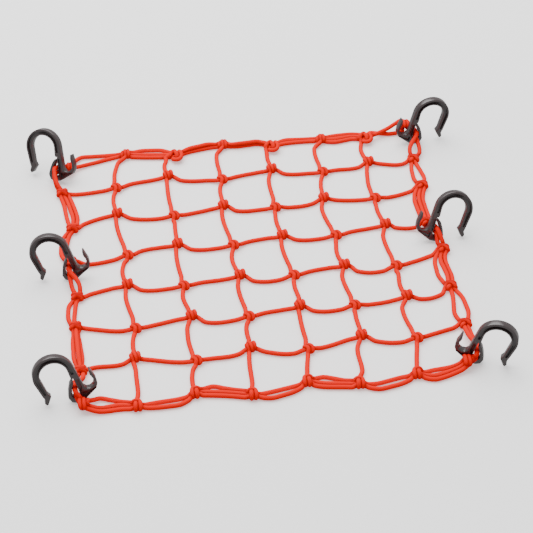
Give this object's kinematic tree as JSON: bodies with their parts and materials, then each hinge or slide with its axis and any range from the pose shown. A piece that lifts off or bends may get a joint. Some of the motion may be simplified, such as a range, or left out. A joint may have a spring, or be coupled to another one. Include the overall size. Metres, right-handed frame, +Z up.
{
  "type": "luggage net",
  "caption": "Square net of knotted elastic cord lying flat, with loose doubled border cords and plastic hooks along two sides for holding luggage on a rack.",
  "frame": {"origin": "on the surface the net lies on, under the middle of the whole object's box", "axes": "+X along the rows of knots to the right, +Y along the columns to the back, +Z up"},
  "size_m": [0.4795, 0.4096, 0.0559],
  "materials": {
    "cord": "braided synthetic sheath, matt, bright orange red",
    "hook_plastic": "moulded, charcoal, fine grain"
  },
  "bodies": {
    "root": {"net": "cord", "hook_left_back": "hook_plastic", "hook_left_middle": "hook_plastic", "hook_left_front": "hook_plastic", "hook_right_back": "hook_plastic", "hook_right_middle": "hook_plastic", "hook_right_front": "hook_plastic"}
  },
  "joints": []
}
